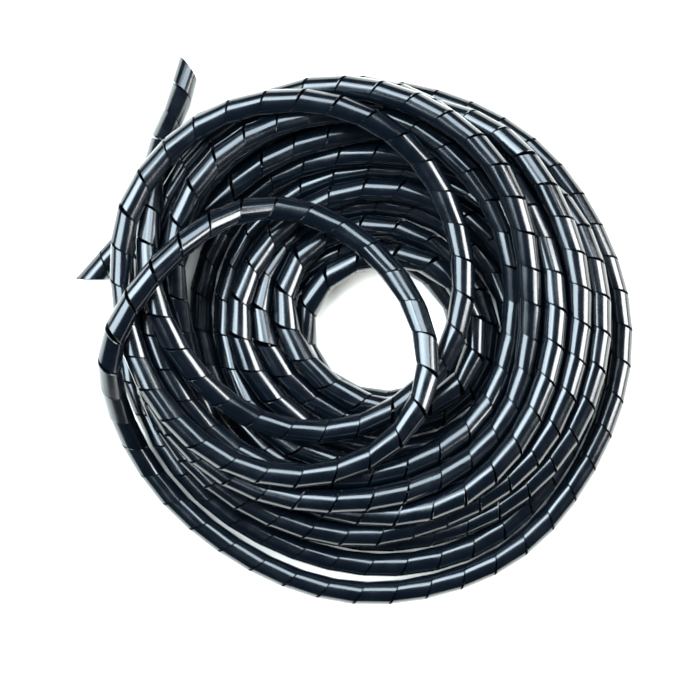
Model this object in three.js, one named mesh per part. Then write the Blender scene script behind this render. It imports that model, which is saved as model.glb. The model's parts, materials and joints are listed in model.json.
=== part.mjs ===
// Spiral cable wrap: a plastic tube, lying on the floor as a loose heap of coiled turns.
// Millimetres, +Z up. The origin is on the floor, under the middle of the heap.
import * as THREE from 'three';

// Section of the tube
const outerDiameter = 8;
const wallThickness = 1.1;
const outerSides = 8;
const boreSides = 6;

// How the tube lies
const contactGap = 0.5;       // air left between two turns that touch
const linkLength = 6;         // length of one link of the chain that settles
const ringSpacing = 14.5;     // length of tube between two modelled rings
const settleSteps = 900;
const closingSteps = 40;       // with the heap at rest: turns that still overlap part
const fallPerStep = 0.45;     // at the start: it dies away as the heap comes to rest
const restWeight = 0.1;       // share of the fall that is left at the end
const shapeHold = 0.06;       // pull of each link back to its place in plan, per step
const stiffness = 0.25;       // resistance of the tube to a change of bend, 0 to 1
const bendSpans = [1, 3];     // how many links the bends reach over that it resists
const freeContacts = 3;       // tube this many contacts apart, or nearer, doesn't meet itself
const stepsPerSearch = 8;     // steps between two searches for turns that may meet
const arcDivisions = 24;      // samples between two points of a curve, for its length
const parallelLimit = 1e-6;   // two links count as parallel below this spread

// Each turn's distance from the middle of the heap, clockwise from the west:
// W, NW, N, NE, E, SE, S, SW. The level is the order in which the turns lie on each other.
const turns = [
  { level: 1, reach: [79, 73, 65, 64, 66, 62, 55, 46] },
  { level: 2, reach: [34, 31, 26, 27, 33, 34, 28, 25] },
  { level: 3, reach: [24, 24, 25, 30, 38, 36, 25, 25] },
  { level: 4, reach: [31, 35, 35, 38, 44, 42, 33, 33] },
  { level: 5, reach: [38, 40, 41, 43, 50, 48, 40, 39] },
  { level: 6, reach: [44, 45, 47, 50, 56, 55, 47, 46] },
  { level: 7, reach: [51, 53, 54, 57, 63, 62, 55, 54] },
  { level: 8, reach: [58, 60, 61, 65, 69, 69, 63, 63] },
  { level: 14, reach: [68, 76, 74, 59, 48, 50, 50, 63] },
  { level: 13, reach: [75, 80, 78, 67, 54, 57, 59, 68] },
  { level: 12, reach: [77, 79, 75, 70, 61, 64, 63, 69] },
  { level: 11, reach: [74, 76, 73, 71, 68, 69, 68, 71] },
  { level: 10, reach: [76, 71, 69, 73, 75, 76, 74, 72] },
  { level: 9, reach: [72, 78, 74, 71, 79, 80, 80, 77] },
  { level: 8.5, reach: [78, 79, 77, 81, 85, 87, 92, 89] },
  { level: 18, reach: [82, 58, 26, 16, 17, 28, 44, 66] },
  { level: 17, reach: [79, 89, 71, 42, 29, 28, 32, 48] },
];

// The two loose ends, as points in plan: each runs off the heap at its upper left
const lowerEnd = { level: 1, points: [[-96, 16], [-82, 31]] };
const upperEnd = { level: 16, points: [[-72, 4], [-71, 43], [-67, 66], [-62, 90]] };

const tubeRadius = outerDiameter / 2;
const contactDistance = outerDiameter + contactGap;

// Control points of the laid tube, from the lower end to the upper one
function layTube() {
  const points = [];
  const place = (x, y, level) => points.push(new THREE.Vector3(x, y, level * contactDistance));
  lowerEnd.points.forEach(([x, y]) => place(x, y, lowerEnd.level));
  turns.forEach(({ level, reach }, turn) => {
    reach.forEach((distance, k) => {
      if (turn === 0 && k === 0) return;
      const angle = Math.PI - (k * 2 * Math.PI) / reach.length;
      place(distance * Math.cos(angle), distance * Math.sin(angle), level);
    });
  });
  upperEnd.points.forEach(([x, y]) => place(x, y, upperEnd.level));
  return points;
}

function curveThrough(points) {
  const curve = new THREE.CatmullRomCurve3(points, false, 'centripetal');
  curve.arcLengthDivisions = points.length * arcDivisions;
  return curve;
}

// Closest points of the links a-b and c-d, as fractions along them
function closestFractions(a, b, c, d) {
  const u = b.clone().sub(a);
  const v = d.clone().sub(c);
  const w = a.clone().sub(c);
  const uu = u.dot(u);
  const uv = u.dot(v);
  const vv = v.dot(v);
  const uw = u.dot(w);
  const vw = v.dot(w);
  const clamp = (x) => Math.min(1, Math.max(0, x));
  const spread = uu * vv - uv * uv;
  let s = spread > parallelLimit * uu * vv ? clamp((uv * vw - vv * uw) / spread) : 0.5;
  const t = clamp((uv * s + vw) / vv);
  s = clamp((uv * t - uw) / uu);
  return [s, t];
}

// Pushes apart each pair of links that are nearer than two touching tubes
function separate(chain, pairs) {
  for (const [i, j] of pairs) {
    const [a, b, c, d] = [chain[i], chain[i + 1], chain[j], chain[j + 1]];
    const [s, t] = closestFractions(a, b, c, d);
    const p = a.clone().lerp(b, s);
    const q = c.clone().lerp(d, t);
    const apart = q.sub(p);
    const distance = apart.length();
    if (distance >= contactDistance || distance === 0) continue;
    apart.multiplyScalar((contactDistance - distance) / distance / 2);
    const shareNear = 1 / ((1 - s) ** 2 + s ** 2);
    const shareFar = 1 / ((1 - t) ** 2 + t ** 2);
    a.addScaledVector(apart, -(1 - s) * shareNear);
    b.addScaledVector(apart, -s * shareNear);
    c.addScaledVector(apart, (1 - t) * shareFar);
    d.addScaledVector(apart, t * shareFar);
  }
}

// Pairs of links that are close enough to meet soon
function nearbyPairs(chain) {
  const skip = Math.ceil((freeContacts * contactDistance) / linkLength);
  const reach = contactDistance + 2 * linkLength;
  const pairs = [];
  for (let i = 0; i + 1 < chain.length; i += 1) {
    for (let j = i + skip; j + 1 < chain.length; j += 1) {
      if (chain[i].distanceToSquared(chain[j]) < reach * reach) pairs.push([i, j]);
    }
  }
  return pairs;
}

// The tube's own stiffness: each point moves towards the cubic through its two neighbours
// on each side, whose middle value is (4 near - far) / 6 of their sums
function straighten(chain, span) {
  const before = chain.map((p) => p.clone());
  for (let i = 2 * span; i + 2 * span < chain.length; i += 1) {
    const near = before[i - span].clone().add(before[i + span]);
    const far = before[i - 2 * span].clone().add(before[i + 2 * span]);
    const smooth = near.multiplyScalar(4).sub(far).divideScalar(6);
    chain[i].lerp(smooth, stiffness);
  }
}

function keepLinks(chain, length) {
  for (let i = 0; i + 1 < chain.length; i += 1) {
    const link = chain[i + 1].clone().sub(chain[i]);
    const excess = (link.length() - length) / link.length() / 2;
    chain[i].addScaledVector(link, excess);
    chain[i + 1].addScaledVector(link, -excess);
  }
}

function restOnFloor(chain) {
  chain.forEach((p) => { p.z = Math.max(p.z, tubeRadius); });
}

// Lets the laid tube fall and settle under its own weight
function settle(laid) {
  const links = Math.round(laid.getLength() / linkLength);
  const chain = laid.getSpacedPoints(links);
  const places = chain.map((p) => p.clone());
  const length = laid.getLength() / links;
  let pairs = [];
  for (let step = 0; step < settleSteps; step += 1) {
    const weight = Math.max(restWeight, 1 - step / settleSteps);
    if (step % stepsPerSearch === 0) pairs = nearbyPairs(chain);
    chain.forEach((p, i) => {
      p.x += (places[i].x - p.x) * shapeHold;
      p.y += (places[i].y - p.y) * shapeHold;
      p.z -= fallPerStep * weight;
    });
    bendSpans.forEach((span) => straighten(chain, span));
    keepLinks(chain, length);
    restOnFloor(chain);
    separate(chain, pairs);
    separate(chain, pairs);
  }
  pairs = nearbyPairs(chain);
  for (let step = 0; step < closingSteps; step += 1) {
    straighten(chain, 1);
    separate(chain, pairs);
    restOnFloor(chain);
  }
  return chain;
}

function ringPath(radius, sides, shape) {
  for (let k = 0; k <= sides; k += 1) {
    const angle = (k * 2 * Math.PI) / sides;
    const [x, y] = [radius * Math.cos(angle), radius * Math.sin(angle)];
    if (k === 0) shape.moveTo(x, y);
    else shape.lineTo(x, y);
  }
  return shape;
}

function tubeSection() {
  const section = ringPath(tubeRadius, outerSides, new THREE.Shape());
  const bore = ringPath(tubeRadius - wallThickness, boreSides, new THREE.Path());
  section.holes.push(bore);
  return section;
}

// Stands the heap on z = 0 with the origin under the middle of its box
function setDown(geometry) {
  geometry.computeBoundingBox();
  const middle = geometry.boundingBox.getCenter(new THREE.Vector3());
  geometry.translate(-middle.x, -middle.y, -geometry.boundingBox.min.z);
}

function spiralWrap() {
  const route = curveThrough(settle(curveThrough(layTube())));
  const geometry = new THREE.ExtrudeGeometry(tubeSection(), {
    extrudePath: route,
    steps: Math.round(route.getLength() / ringSpacing),
    bevelEnabled: false,
  });
  setDown(geometry);
  const polyethylene = new THREE.MeshStandardMaterial({
    color: 0x14171c,
    roughness: 0.3,
    metalness: 0,
  });
  const mesh = new THREE.Mesh(geometry, polyethylene);
  mesh.name = 'spiral_wrap';
  return mesh;
}

const model = new THREE.Group();
model.add(spiralWrap());

export default model;
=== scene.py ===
"""Spiral cable wrap: a slit strip of black plastic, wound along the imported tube, in a studio."""

import json
import math

import bmesh
import bpy
import numpy as np
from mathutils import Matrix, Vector
from bpy.props import FloatProperty, FloatVectorProperty, IntProperty, PointerProperty


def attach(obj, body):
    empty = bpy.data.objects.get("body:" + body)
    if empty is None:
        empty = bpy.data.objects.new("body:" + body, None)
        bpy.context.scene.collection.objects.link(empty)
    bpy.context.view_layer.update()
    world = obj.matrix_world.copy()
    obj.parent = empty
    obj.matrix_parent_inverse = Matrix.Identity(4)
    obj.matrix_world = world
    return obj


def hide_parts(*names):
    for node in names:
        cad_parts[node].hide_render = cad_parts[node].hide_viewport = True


bl_info = {
    "name": "Spiral Cable Wrap",
    "version": (1, 0, 0),
    "blender": (4, 5, 0),
    "location": "View3D > Sidebar > Spiral Wrap",
    "description": "Winds a slit plastic strip along a packed tube and lights it",
    "category": "Object",
}

MM = 0.001
TUBE_NODE = "spiral_wrap"
END_MOUNT = "upper_cut_end"
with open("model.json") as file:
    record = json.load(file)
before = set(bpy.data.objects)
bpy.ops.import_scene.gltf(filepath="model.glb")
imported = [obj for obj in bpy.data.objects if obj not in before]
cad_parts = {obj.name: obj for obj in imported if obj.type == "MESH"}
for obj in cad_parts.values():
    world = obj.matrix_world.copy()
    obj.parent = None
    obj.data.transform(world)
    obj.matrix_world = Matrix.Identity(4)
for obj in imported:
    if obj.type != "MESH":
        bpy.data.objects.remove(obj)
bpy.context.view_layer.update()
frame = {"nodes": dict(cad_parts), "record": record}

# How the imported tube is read
SAME_POINT = 0.02 * MM       # points nearer than this are one
CAP_TRIANGLE = 2.5 * MM      # the triangles of a cut end are smaller than a square of this side
CAP_REACH = 15 * MM          # and lie this near to the mount's point

# How the strip is made
CUT_TOLERANCE = 0.001 * MM
SPARE_TURNS = 2              # cut off again: one before the start of the tube, one after its end
LEAST_SLIT = 0.3             # share of the slit that a tight bend leaves open on its inside
SMOOTH_BELOW = math.radians(30)
UV_LAYER = "strip"

# The plastic's finish: noise scales are per metre, reliefs are heights
PLASTIC_IOR = 1.51
COAT_WEIGHT = 0.2
COAT_ROUGHNESS = 0.12
LINE_SCALE = (60, 6000, 1)   # along the tube, around it
LINE_RELIEF = 0.03 * MM
LINE_STRENGTH = 0.35
DENT_SCALE = 260.0
DENT_RELIEF = 0.2 * MM
DENT_STRENGTH = 0.15
HAZE_SCALE = 140.0
HAZE_RANGE = (0.3, 0.7)      # the haze's own values, from clear to hazy
HAZE_PALER = 1.7             # the hazy plastic's colour, as a multiple of the clear one's
HAZE_ROUGHNESS = (0.8, 1.35)  # the clear and the hazy plastic's roughness, as multiples
MIX_FACTOR, MIX_A, MIX_B = 0, 6, 7  # a Mix node's inputs when it mixes colours
MIX_RESULT = 2

# The studio
FLOOR_REACH = 2.0            # from the middle of the floor to its edge
FLOOR_ROUGHNESS = 0.9
SENSOR_WIDTH = 36.0
PALE_BLUE = (0.72, 0.88, 1.0)
COOL_WHITE = (0.95, 0.98, 1.0)
# Each lamp: name, place, its two sides, the setting and share that give its power, colour.
# A lamp's first side lies level, and its second one sets how wide a stripe it draws on a tube.
LAMPS = (
    ("left_lamp", (-0.48, 0.04, 0.55), (0.6, 0.58), "left_power", 1.0, PALE_BLUE),
    ("corner_lamp", (-0.32, 0.3, 0.62), (0.5, 0.6), "left_power", 0.32, PALE_BLUE),
    ("rear_lamp", (0.05, 0.35, 0.6), (0.62, 0.34), "left_power", 0.48, PALE_BLUE),
    ("right_lamp", (0.64, 0.03, 0.4), (0.5, 0.5), "right_power", 1.0, COOL_WHITE),
)


class WrapSettings(bpy.types.PropertyGroup):
    """Sizes and colours of the strip."""

    diameter: FloatProperty(
        name="Outer diameter", description="Outer diameter of the wrap",
        default=8 * MM, min=2 * MM, unit="LENGTH")
    wall: FloatProperty(
        name="Wall", description="Thickness of the strip",
        default=1.1 * MM, min=0.2 * MM, unit="LENGTH")
    pitch: FloatProperty(
        name="Pitch", description="Length of tube from one slit to the next",
        default=12 * MM, min=3 * MM, unit="LENGTH")
    slit: FloatProperty(
        name="Slit", description="Width of the slit where the tube lies straight",
        default=0.4 * MM, min=0.0, unit="LENGTH")
    edge: FloatProperty(
        name="Edge", description="Chamfer along the strip's edges",
        default=0.12 * MM, min=0.0, unit="LENGTH")
    cut_slant: FloatProperty(
        name="Cut slant", description="Slope of the cut across each end",
        default=0.85)
    upper_tip: FloatVectorProperty(
        name="Upper tip", description="Side on which the cut at the upper end runs to a point",
        default=(-1.0, 0.2, 0.0), size=3, subtype="DIRECTION")
    lower_tip: FloatVectorProperty(
        name="Lower tip", description="Side on which the cut at the lower end runs to a point",
        default=(-0.75, 0.66, 0.0), size=3, subtype="DIRECTION")
    facets: IntProperty(
        name="Facets", description="Steps of the strip in one turn about the tube",
        default=22, min=8)
    fineness: IntProperty(
        name="Fineness", description="Steps of the route from one ring of the tube to the next",
        default=16, min=2)
    colour: FloatVectorProperty(
        name="Plastic", description="Colour of the polyethylene",
        default=(0.0006, 0.0014, 0.0026, 1.0), size=4, subtype="COLOR")
    roughness: FloatProperty(
        name="Roughness", description="Roughness of the plastic",
        default=0.18, min=0.0, max=1.0, subtype="FACTOR")


class StudioSettings(bpy.types.PropertyGroup):
    """Camera, floor and lamps."""

    view_width: FloatProperty(
        name="View width", description="Width of floor that the picture takes in",
        default=236.5 * MM, unit="LENGTH")
    view_centre: FloatVectorProperty(
        name="View centre", description="Point of the heap in the middle of the picture",
        default=(-2.3 * MM, -5.3 * MM, 16 * MM), size=3, unit="LENGTH")
    camera_height: FloatProperty(
        name="Camera height", description="Height of the camera over the view centre",
        default=0.9, unit="LENGTH")
    floor_colour: FloatVectorProperty(
        name="Floor", description="Colour of the floor",
        default=(0.95, 0.88, 0.79, 1.0), size=4, subtype="COLOR")
    left_power: FloatProperty(
        name="Left lamp", description="Power of the lamp on the left; the rear ones follow it",
        default=18.0, unit="POWER")
    right_power: FloatProperty(
        name="Right lamp", description="Power of the lamp on the right",
        default=18.0, unit="POWER")
    sky: FloatProperty(
        name="Room light", description="Strength of the even light of the room",
        default=0.03)


def cut_end():
    """The point of the upper cut end, from the record's mount."""
    mounts = frame["record"]["mounts"]
    return Vector(next(m for m in mounts if m["name"] == END_MOUNT)["pos_m"])


def merged_tube():
    """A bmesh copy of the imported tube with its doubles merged."""
    bm = bmesh.new()
    bm.from_mesh(frame["nodes"][TUBE_NODE].data)
    bmesh.ops.remove_doubles(bm, verts=bm.verts[:], dist=SAME_POINT)
    bm.verts.index_update()
    return bm


def ring_centres():
    """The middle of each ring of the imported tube, found ring by ring from its upper cut end."""
    bm = merged_tube()
    end = cut_end()
    caps = [f for f in bm.faces if f.calc_area() < CAP_TRIANGLE ** 2]
    ring = {v for f in caps for v in f.verts if (v.co - end).length < CAP_REACH}
    seen, centres = set(), []
    while ring:
        seen |= ring
        in_order = sorted(ring, key=lambda v: v.index)  # a set's own order differs each run
        centres.append(sum((v.co for v in in_order), Vector()) / len(ring))
        ring = {e.other_vert(v) for v in ring for e in v.link_edges} - seen
    bm.free()
    return np.array(centres)


class Route:
    """A smooth line through the ring centres, with an untwisted frame along it."""

    def __init__(self, centres, rest_height, fineness):
        ends = [2 * centres[0] - centres[1], 2 * centres[-1] - centres[-2]]
        p = np.vstack([ends[:1], centres, ends[1:]])
        t = np.linspace(0, 1, fineness, endpoint=False)[:, None]
        spans = [
            0.5 * (2 * p[i] + (p[i + 1] - p[i - 1]) * t
                   + (2 * p[i - 1] - 5 * p[i] + 4 * p[i + 1] - p[i + 2]) * t ** 2
                   + (3 * p[i] - p[i - 1] - 3 * p[i + 1] + p[i + 2]) * t ** 3)
            for i in range(1, len(p) - 2)
        ]
        self.line = np.vstack(spans + [centres[-1:]])
        self.line[:, 2] = np.maximum(self.line[:, 2], rest_height)
        steps = np.linalg.norm(np.diff(self.line, axis=0), axis=1)
        self.arc = np.concatenate([[0.0], np.cumsum(steps)])
        self.length = float(self.arc[-1])
        self.tangent = self.unit(np.gradient(self.line, self.arc, axis=0))
        self.side = self.untwisted_sides()
        self.bend = np.gradient(self.tangent, self.arc, axis=0)

    @staticmethod
    def unit(vectors):
        return vectors / np.linalg.norm(vectors, axis=-1, keepdims=True)

    def untwisted_sides(self):
        """A side direction that turns with the line and never about it."""
        side = np.zeros_like(self.tangent)
        side[0] = self.unit(np.cross(self.tangent[0], (0.0, 0.0, 1.0)))
        for i in range(1, len(side)):
            along = self.tangent[i] * side[i - 1].dot(self.tangent[i])
            side[i] = self.unit(side[i - 1] - along)
        return side

    def sample(self, table, s):
        """Rows of one of the route's tables at the distances s along the line."""
        return np.stack([np.interp(s, self.arc, table[:, k]) for k in range(3)], axis=1)

    def across(self, s, direction):
        """A direction as seen by the section at s: its shares along the section's two axes."""
        at = np.array([s])
        side, tangent = self.sample(self.side, at)[0], self.sample(self.tangent, at)[0]
        return self.unit(np.array([side.dot(direction), np.cross(tangent, side).dot(direction)]))

    def points_at(self, s):
        """Points of the line, which runs on straight past its two ends."""
        over = (s - np.clip(s, 0, self.length))[:, None]
        return self.sample(self.line, s) + over * self.sample(self.tangent, s)


def everything(bm):
    """All that the mesh has, for an operator that works on the whole."""
    return bm.verts[:] + bm.edges[:] + bm.faces[:]


def sort_by_corners(bm):
    """Puts edges and faces in the order of their vertices: a spin leaves them in any order."""
    bm.verts.index_update()
    count = len(bm.verts)

    def corners(element):
        indices = [v.index for v in element.verts]
        return min(indices) * count + max(indices)

    bm.edges.sort(key=corners)
    bm.faces.sort(key=corners)


def strip_turn(bm, settings):
    """One turn of the strip about the X axis: its section, spun by one pitch."""
    radius = settings.diameter / 2
    half = (settings.pitch - settings.slit) / 2
    section = [bm.verts.new(p) for p in (
        (-half, radius, 0), (half, radius, 0),
        (half, radius - settings.wall, 0), (-half, radius - settings.wall, 0))]
    bm.faces.new(section)
    bmesh.ops.bevel(
        bm, geom=section, offset=settings.edge, offset_type="OFFSET", segments=1,
        profile=0.5, affect="VERTICES", material=-1)
    bmesh.ops.delete(bm, geom=bm.faces[:], context="FACES_ONLY")
    bmesh.ops.spin(
        bm, geom=bm.verts[:] + bm.edges[:], cent=(0, 0, 0), axis=(1, 0, 0),
        dvec=(settings.pitch / settings.facets, 0, 0), angle=-2 * math.pi,
        steps=settings.facets, use_merge=False)
    sort_by_corners(bm)


def repeat_turn(bm, settings, length):
    """Doubles the strip along X until it is longer than the tube, and joins its seams."""
    turns = 1
    while (turns - SPARE_TURNS) * settings.pitch < length:
        copy = bmesh.ops.duplicate(bm, geom=everything(bm))["geom"]
        copied = [v for v in copy if isinstance(v, bmesh.types.BMVert)]
        bmesh.ops.translate(bm, verts=copied, vec=(turns * settings.pitch, 0, 0))
        seam = [v for v in bm.verts if v.is_boundary]
        bmesh.ops.remove_doubles(bm, verts=seam, dist=SAME_POINT)
        turns *= 2
    bmesh.ops.translate(bm, verts=bm.verts[:], vec=(-settings.pitch, 0, 0))


def cut_ends(bm, settings, route):
    """Cuts both ends of the straight strip obliquely, each to a point on its own side."""
    for end, outwards, tip in (
            (0.0, -1, settings.upper_tip), (route.length, 1, settings.lower_tip)):
        across = route.across(end, tip)
        slope = (outwards, -settings.cut_slant * across[0], -settings.cut_slant * across[1])
        bmesh.ops.bisect_plane(
            bm, geom=everything(bm), dist=CUT_TOLERANCE,
            plane_co=(end, 0, 0), plane_no=slope, clear_outer=True)
    bmesh.ops.holes_fill(bm, edges=[e for e in bm.edges if e.is_boundary], sides=0)
    bmesh.ops.recalc_face_normals(bm, faces=bm.faces[:])


def strip_places(points, settings):
    """Splits straight points into place along the helix's middle, width, angle and turn."""
    share = (-np.arctan2(points[:, 2], points[:, 1]) / (2 * math.pi)) % 1.0
    turn = np.round(points[:, 0] / settings.pitch - share)
    middle = (turn + share) * settings.pitch
    return middle, points[:, 0] - middle, -2 * math.pi * share, turn


def wind(bm, route, settings):
    """Carries the straight strip onto the route. Each line across the strip stays straight, so
    the slit opens on the outside of a bend and closes on the inside."""
    points = np.array([v.co for v in bm.verts])
    middle, width, angle, turn = strip_places(points, settings)
    radius = np.hypot(points[:, 1], points[:, 2])
    tangent = Route.unit(route.sample(route.tangent, middle))
    side = route.sample(route.side, middle)
    side = Route.unit(side - tangent * (side * tangent).sum(axis=1, keepdims=True))
    up = np.cross(tangent, side)
    outward = np.cos(angle)[:, None] * side + np.sin(angle)[:, None] * up
    inward = (route.sample(route.bend, middle) * outward).sum(axis=1) * radius
    room = settings.pitch * (1 - inward) - LEAST_SLIT * settings.slit
    width = width * np.minimum(1.0, room / (settings.pitch - settings.slit))
    placed = route.points_at(middle) + outward * radius[:, None] + tangent * width[:, None]
    placed[:, 2] = np.maximum(placed[:, 2], 0)
    for vert, place in zip(bm.verts, placed):
        vert.co = place
    around = (turn * 2 * math.pi - angle) * settings.diameter / 2
    lay_uv(bm, middle + width, around)


def lay_uv(bm, along, around):
    """The strip's UV map: metres along the tube and around it, for each vertex."""
    layer = bm.loops.layers.uv.new(UV_LAYER)
    bm.verts.index_update()
    for face in bm.faces:
        for loop in face.loops:
            i = loop.vert.index
            loop[layer].uv = (along[i], around[i])


def node_of(tree, kind, label, **inputs):
    """Adds a shader node with its unlinked inputs set."""
    node = tree.nodes.new(kind)
    node.label = label
    for name, value in inputs.items():
        node.inputs[name.replace("_", " ")].default_value = value
    return node


def polyethylene(settings):
    """Black polyethylene: fine lines along the tube, faint haze and small dents."""
    material = bpy.data.materials.new("black_polyethylene")
    material.use_nodes = True
    tree = material.node_tree
    shader = tree.nodes["Principled BSDF"]
    shader.inputs["IOR"].default_value = PLASTIC_IOR
    shader.inputs["Coat Weight"].default_value = COAT_WEIGHT
    shader.inputs["Coat Roughness"].default_value = COAT_ROUGHNESS
    place = node_of(tree, "ShaderNodeTexCoord", "place")
    haze = node_of(tree, "ShaderNodeTexNoise", "haze", Scale=HAZE_SCALE, Detail=4.0)
    tree.links.new(place.outputs["Object"], haze.inputs["Vector"])
    hazy_colour(tree, shader, haze, settings)
    hazy_roughness(tree, shader, haze, settings)
    line_and_dent_relief(tree, shader, place)
    return material


def hazy_colour(tree, shader, haze, settings):
    """The plastic is a little paler where the haze lies."""
    colour = node_of(tree, "ShaderNodeMix", "colour variation")
    colour.data_type = "RGBA"
    clear = list(settings.colour)
    hazy = [min(1.0, HAZE_PALER * c) for c in clear[:3]] + [1.0]
    colour.inputs[MIX_A].default_value = clear
    colour.inputs[MIX_B].default_value = hazy
    tree.links.new(haze.outputs["Fac"], colour.inputs[MIX_FACTOR])
    tree.links.new(colour.outputs[MIX_RESULT], shader.inputs["Base Color"])


def hazy_roughness(tree, shader, haze, settings):
    """The haze dulls the plastic."""
    lowest, highest = (settings.roughness * share for share in HAZE_ROUGHNESS)
    rough = node_of(
        tree, "ShaderNodeMapRange", "roughness from the haze",
        From_Min=HAZE_RANGE[0], From_Max=HAZE_RANGE[1], To_Min=lowest, To_Max=highest)
    tree.links.new(haze.outputs["Fac"], rough.inputs["Value"])
    tree.links.new(rough.outputs["Result"], shader.inputs["Roughness"])


def line_and_dent_relief(tree, shader, place):
    """Long lines that the extruder leaves along the tube, and small dents over them."""
    link = tree.links.new
    strip = node_of(tree, "ShaderNodeUVMap", "along and around the tube")
    strip.uv_map = UV_LAYER
    lines_at = node_of(tree, "ShaderNodeMapping", "long lines along the tube", Scale=LINE_SCALE)
    lines = node_of(tree, "ShaderNodeTexNoise", "extrusion lines", Scale=1.0, Detail=3.0)
    dents = node_of(tree, "ShaderNodeTexNoise", "dents", Scale=DENT_SCALE, Detail=2.0)
    link(strip.outputs["UV"], lines_at.inputs["Vector"])
    link(lines_at.outputs["Vector"], lines.inputs["Vector"])
    link(place.outputs["Object"], dents.inputs["Vector"])
    line_bump = node_of(
        tree, "ShaderNodeBump", "line relief", Strength=LINE_STRENGTH, Distance=LINE_RELIEF)
    dent_bump = node_of(
        tree, "ShaderNodeBump", "dent relief", Strength=DENT_STRENGTH, Distance=DENT_RELIEF)
    link(lines.outputs["Fac"], line_bump.inputs["Height"])
    link(dents.outputs["Fac"], dent_bump.inputs["Height"])
    link(line_bump.outputs["Normal"], dent_bump.inputs["Normal"])
    link(dent_bump.outputs["Normal"], shader.inputs["Normal"])


class WRAP_OT_strip(bpy.types.Operator):
    """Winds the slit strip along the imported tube"""

    bl_idname = "wrap.strip"
    bl_label = "Spiral strip"

    def execute(self, context):
        settings = context.scene.wrap_settings
        route = Route(ring_centres(), settings.diameter / 2, settings.fineness)
        bm = bmesh.new()
        strip_turn(bm, settings)
        repeat_turn(bm, settings, route.length)
        cut_ends(bm, settings, route)
        wind(bm, route, settings)
        mesh = bpy.data.meshes.new("spiral_strip")
        bm.to_mesh(mesh)
        bm.free()
        strip = bpy.data.objects.new("spiral_strip", mesh)
        context.scene.collection.objects.link(strip)
        mesh.shade_smooth()
        mesh.set_sharp_from_angle(angle=SMOOTH_BELOW)
        mesh.materials.append(polyethylene(settings))
        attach(strip, "root")
        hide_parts(TUBE_NODE)
        return {"FINISHED"}


class WRAP_OT_stage(bpy.types.Operator):
    """Sets up the floor, the lamps, the room's light and the camera"""

    bl_idname = "wrap.stage"
    bl_label = "Studio"

    def execute(self, context):
        studio = context.scene.studio_settings
        self.floor(context.scene, studio)
        for name, place, sides, setting, share, colour in LAMPS:
            power = getattr(studio, setting) * share
            self.lamp(context.scene, name, place, sides, power, colour)
        self.room(context.scene, studio)
        self.camera(context.scene, studio)
        return {"FINISHED"}

    def floor(self, scene, studio):
        bm = bmesh.new()
        bmesh.ops.create_grid(bm, x_segments=1, y_segments=1, size=FLOOR_REACH)
        mesh = bpy.data.meshes.new("floor")
        bm.to_mesh(mesh)
        bm.free()
        floor = bpy.data.objects.new("floor", mesh)
        scene.collection.objects.link(floor)
        material = bpy.data.materials.new("floor_paper")
        material.use_nodes = True
        shader = material.node_tree.nodes["Principled BSDF"]
        shader.inputs["Base Color"].default_value = studio.floor_colour
        shader.inputs["Roughness"].default_value = FLOOR_ROUGHNESS
        mesh.materials.append(material)

    def lamp(self, scene, name, place, sides, power, colour):
        """A rectangular soft lamp that faces the middle of the floor."""
        data = bpy.data.lights.new(name, "AREA")
        data.shape = "RECTANGLE"
        data.size, data.size_y = sides
        data.energy = power
        data.color = colour
        lamp = bpy.data.objects.new(name, data)
        lamp.location = place
        lamp.rotation_euler = (-Vector(place)).to_track_quat("-Z", "Y").to_euler()
        lamp.visible_camera = False
        scene.collection.objects.link(lamp)

    def room(self, scene, studio):
        world = bpy.data.worlds.new("room")
        world.use_nodes = True
        background = world.node_tree.nodes["Background"]
        background.inputs["Color"].default_value = (1.0, 1.0, 1.0, 1.0)
        background.inputs["Strength"].default_value = studio.sky
        scene.world = world
        scene.view_settings.view_transform = "Standard"

    def camera(self, scene, studio):
        data = bpy.data.cameras.new("camera")
        data.sensor_width = SENSOR_WIDTH
        data.sensor_fit = "HORIZONTAL"
        data.lens = data.sensor_width * studio.camera_height / studio.view_width
        camera = bpy.data.objects.new("camera", data)
        camera.location = Vector(studio.view_centre) + Vector((0, 0, studio.camera_height))
        scene.collection.objects.link(camera)
        scene.camera = camera


class WRAP_PT_panel(bpy.types.Panel):
    """Lists the wrap's sizes and builds its pieces"""

    bl_idname = "WRAP_PT_panel"
    bl_label = "Spiral Wrap"
    bl_space_type = "VIEW_3D"
    bl_region_type = "UI"
    bl_category = "Spiral Wrap"

    def draw(self, context):
        for settings in (context.scene.wrap_settings, context.scene.studio_settings):
            box = self.layout.box()
            for name in settings.__annotations__:
                box.prop(settings, name)
        self.layout.operator(WRAP_OT_strip.bl_idname)
        self.layout.operator(WRAP_OT_stage.bl_idname)


CLASSES = (WrapSettings, StudioSettings, WRAP_OT_strip, WRAP_OT_stage, WRAP_PT_panel)


def register():
    for cls in CLASSES:
        bpy.utils.register_class(cls)
    bpy.types.Scene.wrap_settings = PointerProperty(type=WrapSettings)
    bpy.types.Scene.studio_settings = PointerProperty(type=StudioSettings)


def unregister():
    del bpy.types.Scene.studio_settings
    del bpy.types.Scene.wrap_settings
    for cls in reversed(CLASSES):
        bpy.utils.unregister_class(cls)


def main():
    register()
    bpy.ops.wrap.stage()
    bpy.ops.wrap.strip()


if __name__ == "__main__":
    main()
